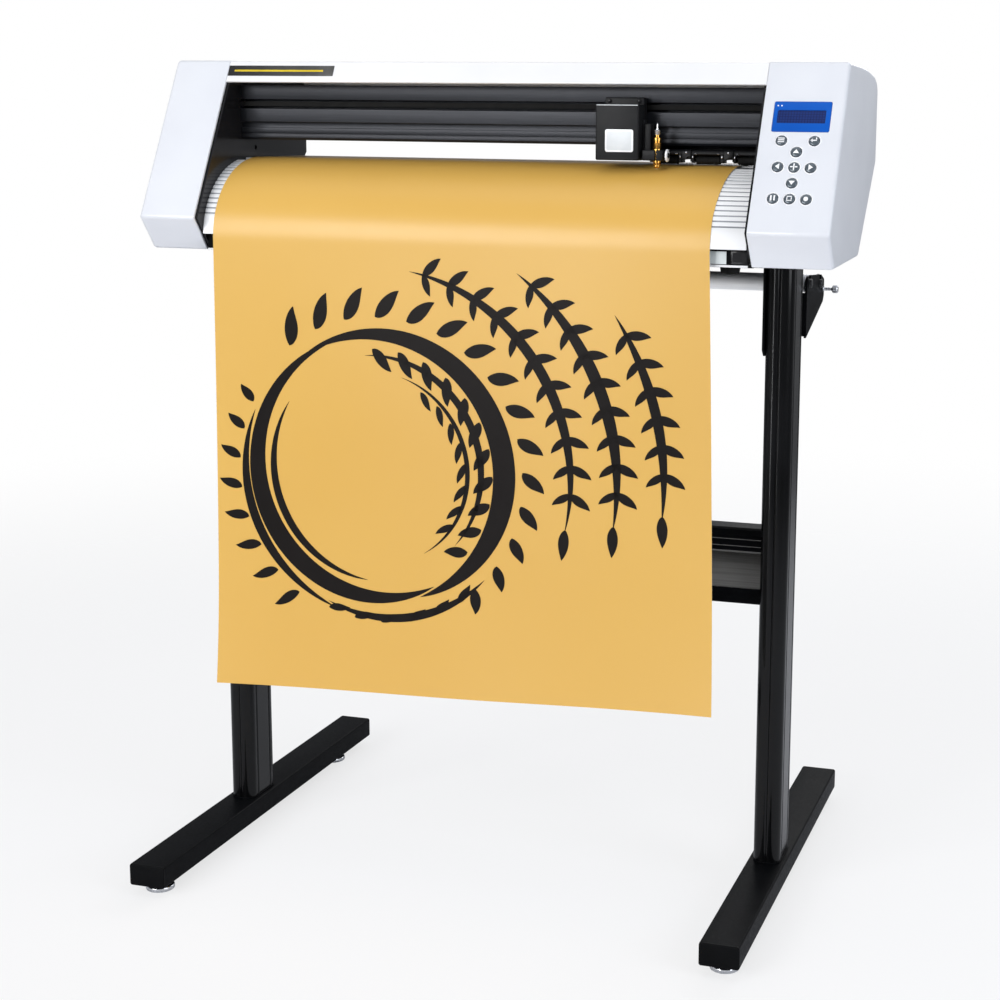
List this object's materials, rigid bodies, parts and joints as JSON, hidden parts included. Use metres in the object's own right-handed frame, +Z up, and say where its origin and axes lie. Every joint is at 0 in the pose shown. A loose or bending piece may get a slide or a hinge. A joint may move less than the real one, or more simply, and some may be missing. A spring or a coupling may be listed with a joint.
{
  "type": "vinyl cutter",
  "caption": "Floor-standing roll cutter: white head with keypad, guide rail, blade carriage, pinch and feed rollers, gold film over a ribbed platen, black H-frame stand with roll shafts.",
  "frame": {"origin": "on the floor, at the middle of the machine's footprint (bottom centre of the bounding box)", "axes": "+Z up; +X from the machine's left end to its keypad end (operator's right); +Y from the operator to the back"},
  "size_m": [0.9095, 0.634, 1.0749],
  "materials": {
    "white_cover": "smooth moulded ABS, satin gloss",
    "white_metal": "white powder coat",
    "black_anodised": "black anodised extrusion, satin",
    "black_paint": "gloss black enamel",
    "black_plastic": "fine textured black ABS",
    "steel": "bright machined",
    "silver_aluminium": "clear anodised, satin",
    "chrome": "bright plated",
    "brass": "turned, bright",
    "rubber": "matte black",
    "display": "printed blue frame round a dark window",
    "button": "metallic grey",
    "circuit_board": "green solder mask",
    "vinyl": "satin gold film"
  },
  "bodies": {
    "root": {"left_cover": "white_cover", "right_cover": "white_cover", "top_cover": "white_cover", "platen": "white_metal", "rear_guide": "white_metal", "guide_rail": "black_anodised", "left_foot_bar": "black_paint", "right_foot_bar": "black_paint", "left_column": "black_paint", "right_column": "black_paint", "lower_crossbar": "black_paint", "left_roll_bracket": "black_paint", "right_roll_bracket": "black_paint", "base_beam": "black_paint", "left_side_plate": "black_paint", "right_side_plate": "black_paint", "power_inlet": "black_plastic", "feed_motor": "steel", "carriage_motor": "steel", "pinch_shaft": "steel", "power_supply": "steel", "carriage_belt": "rubber", "display_module": "display", "mainboard": "circuit_board", "vinyl_sheet": "vinyl"},
    "left_front_levelling_foot": {"left_front_levelling_foot": "chrome"},
    "left_rear_levelling_foot": {"left_rear_levelling_foot": "chrome"},
    "right_front_levelling_foot": {"right_front_levelling_foot": "chrome"},
    "right_rear_levelling_foot": {"right_rear_levelling_foot": "chrome"},
    "front_roll_shaft": {"front_roll_shaft": "silver_aluminium"},
    "rear_roll_shaft": {"rear_roll_shaft": "silver_aluminium"},
    "bracket_thumb_screw": {"bracket_thumb_screw": "steel"},
    "carriage": {"carriage_body": "black_plastic", "carriage_cover": "black_plastic"},
    "drive_pulley": {"drive_pulley": "brass"},
    "idler_pulley": {"idler_pulley": "black_plastic"},
    "tool_holder": {"tool_slider": "black_plastic", "blade_holder": "brass"},
    "tool_clamp_knob": {"tool_clamp_knob": "white_cover"},
    "blade": {"blade": "steel"},
    "pinch_arm_a": {"pinch_arm_a": "black_plastic"},
    "pinch_roller_a": {"pinch_roller_a": "rubber"},
    "pinch_arm_b": {"pinch_arm_b": "black_plastic"},
    "pinch_roller_b": {"pinch_roller_b": "rubber"},
    "pinch_arm_c": {"pinch_arm_c": "black_plastic"},
    "pinch_roller_c": {"pinch_roller_c": "rubber"},
    "grit_roller": {"grit_roller": "steel", "feed_gear": "black_plastic"},
    "feed_pinion": {"feed_pinion": "brass"},
    "button_menu": {"button_menu": "button"},
    "button_enter": {"button_enter": "button"},
    "button_up": {"button_up": "button"},
    "button_left": {"button_left": "button"},
    "button_origin": {"button_origin": "button"},
    "button_right": {"button_right": "button"},
    "button_down": {"button_down": "button"},
    "button_pause": {"button_pause": "button"},
    "button_test": {"button_test": "button"},
    "button_reset": {"button_reset": "button"},
    "power_switch": {"power_switch": "black_plastic"}
  },
  "joints": [
    {"name": "left_front_levelling_foot_height", "type": "slide", "parent": "root", "child": "left_front_levelling_foot", "axis": [0, 0, -1], "range_m": [0, 0.015]},
    {"name": "left_rear_levelling_foot_height", "type": "slide", "parent": "root", "child": "left_rear_levelling_foot", "axis": [0, 0, -1], "range_m": [0, 0.015]},
    {"name": "right_front_levelling_foot_height", "type": "slide", "parent": "root", "child": "right_front_levelling_foot", "axis": [0, 0, -1], "range_m": [0, 0.015]},
    {"name": "right_rear_levelling_foot_height", "type": "slide", "parent": "root", "child": "right_rear_levelling_foot", "axis": [0, 0, -1], "range_m": [0, 0.015]},
    {"name": "front_roll_shaft_spin", "type": "hinge", "parent": "root", "child": "front_roll_shaft", "pos_m": [-0.01, 0.025, 0.799], "axis": [1, 0, 0], "continuous": true},
    {"name": "rear_roll_shaft_spin", "type": "hinge", "parent": "root", "child": "rear_roll_shaft", "pos_m": [-0.01, 0.098, 0.793], "axis": [1, 0, 0], "continuous": true},
    {"name": "thumb_screw_turn", "type": "hinge", "parent": "root", "child": "bracket_thumb_screw", "pos_m": [0.4, 0.112, 0.785], "axis": [1, 0, 0], "range_deg": [0, 720]},
    {"name": "carriage_slide", "type": "slide", "parent": "root", "child": "carriage", "axis": [1, 0, 0], "range_m": [-0.505, 0.115]},
    {"name": "drive_pulley_spin", "type": "hinge", "parent": "root", "child": "drive_pulley", "pos_m": [0.386, -0.042, 1.0192], "axis": [0, 0, 1], "continuous": true},
    {"name": "idler_pulley_spin", "type": "hinge", "parent": "root", "child": "idler_pulley", "pos_m": [-0.398, -0.042, 1.0192], "axis": [0, 0, 1], "continuous": true},
    {"name": "tool_lift", "type": "slide", "parent": "carriage", "child": "tool_holder", "axis": [0, 0, -1], "range_m": [0, 0.0023], "stiffness_N_per_m": 300, "springref_m": -0.006},
    {"name": "clamp_knob_turn", "type": "hinge", "parent": "tool_holder", "child": "tool_clamp_knob", "pos_m": [0.229, -0.085, 0.9602], "axis": [1, 0, 0], "range_deg": [0, 360]},
    {"name": "blade_swivel", "type": "hinge", "parent": "tool_holder", "child": "blade", "pos_m": [0.218, -0.085, 0.97], "axis": [0, 0, 1], "continuous": true},
    {"name": "pinch_arm_a_lift", "type": "hinge", "parent": "root", "child": "pinch_arm_a", "pos_m": [0.2104, -0.012, 0.961], "axis": [-1, 0, 0], "range_deg": [0, 6], "stiffness_Nm_per_rad": 1.5, "springref_deg": -6.88},
    {"name": "pinch_roller_a_spin", "type": "hinge", "parent": "pinch_arm_a", "child": "pinch_roller_a", "pos_m": [0.2204, -0.052, 0.9546], "axis": [1, 0, 0], "continuous": true},
    {"name": "pinch_arm_b_lift", "type": "hinge", "parent": "root", "child": "pinch_arm_b", "pos_m": [0.2642, -0.012, 0.961], "axis": [-1, 0, 0], "range_deg": [0, 6], "stiffness_Nm_per_rad": 1.5, "springref_deg": -6.88},
    {"name": "pinch_roller_b_spin", "type": "hinge", "parent": "pinch_arm_b", "child": "pinch_roller_b", "pos_m": [0.2742, -0.052, 0.9546], "axis": [1, 0, 0], "continuous": true},
    {"name": "pinch_arm_c_lift", "type": "hinge", "parent": "root", "child": "pinch_arm_c", "pos_m": [0.318, -0.012, 0.961], "axis": [-1, 0, 0], "range_deg": [0, 6], "stiffness_Nm_per_rad": 1.5, "springref_deg": -6.88},
    {"name": "pinch_roller_c_spin", "type": "hinge", "parent": "pinch_arm_c", "child": "pinch_roller_c", "pos_m": [0.328, -0.052, 0.9546], "axis": [1, 0, 0], "continuous": true},
    {"name": "grit_roller_spin", "type": "hinge", "parent": "root", "child": "grit_roller", "pos_m": [0, -0.052, 0.9376], "axis": [1, 0, 0], "continuous": true},
    {"name": "feed_pinion_spin", "type": "hinge", "parent": "root", "child": "feed_pinion", "pos_m": [0.365, -0.052, 0.90535], "axis": [1, 0, 0], "continuous": true},
    {"name": "button_menu_press", "type": "slide", "parent": "root", "child": "button_menu", "axis": [0, 0.881, -0.4731], "range_m": [0, 0.001], "stiffness_N_per_m": 300, "springref_m": -0.001},
    {"name": "button_enter_press", "type": "slide", "parent": "root", "child": "button_enter", "axis": [0, 0.881, -0.4731], "range_m": [0, 0.001], "stiffness_N_per_m": 300, "springref_m": -0.001},
    {"name": "button_up_press", "type": "slide", "parent": "root", "child": "button_up", "axis": [0, 0.881, -0.4731], "range_m": [0, 0.001], "stiffness_N_per_m": 300, "springref_m": -0.001},
    {"name": "button_left_press", "type": "slide", "parent": "root", "child": "button_left", "axis": [0, 0.881, -0.4731], "range_m": [0, 0.001], "stiffness_N_per_m": 300, "springref_m": -0.001},
    {"name": "button_origin_press", "type": "slide", "parent": "root", "child": "button_origin", "axis": [0, 0.881, -0.4731], "range_m": [0, 0.001], "stiffness_N_per_m": 300, "springref_m": -0.001},
    {"name": "button_right_press", "type": "slide", "parent": "root", "child": "button_right", "axis": [0, 0.881, -0.4731], "range_m": [0, 0.001], "stiffness_N_per_m": 300, "springref_m": -0.001},
    {"name": "button_down_press", "type": "slide", "parent": "root", "child": "button_down", "axis": [0, 0.881, -0.4731], "range_m": [0, 0.001], "stiffness_N_per_m": 300, "springref_m": -0.001},
    {"name": "button_pause_press", "type": "slide", "parent": "root", "child": "button_pause", "axis": [0, 0.881, -0.4731], "range_m": [0, 0.001], "stiffness_N_per_m": 300, "springref_m": -0.001},
    {"name": "button_test_press", "type": "slide", "parent": "root", "child": "button_test", "axis": [0, 0.881, -0.4731], "range_m": [0, 0.001], "stiffness_N_per_m": 300, "springref_m": -0.001},
    {"name": "button_reset_press", "type": "slide", "parent": "root", "child": "button_reset", "axis": [0, 0.881, -0.4731], "range_m": [0, 0.001], "stiffness_N_per_m": 300, "springref_m": -0.001},
    {"name": "power_switch_rock", "type": "hinge", "parent": "root", "child": "power_switch", "pos_m": [0.301, 0.0985, 0.862], "axis": [1, 0, 0], "range_deg": [0, 12]}
  ],
  "couplings": [
    {"joint": "drive_pulley_spin", "follows": "carriage_slide", "rad_per_m": 156.25},
    {"joint": "idler_pulley_spin", "follows": "carriage_slide", "rad_per_m": 156.25},
    {"joint": "feed_pinion_spin", "follows": "grit_roller_spin", "ratio": -3}
  ]
}
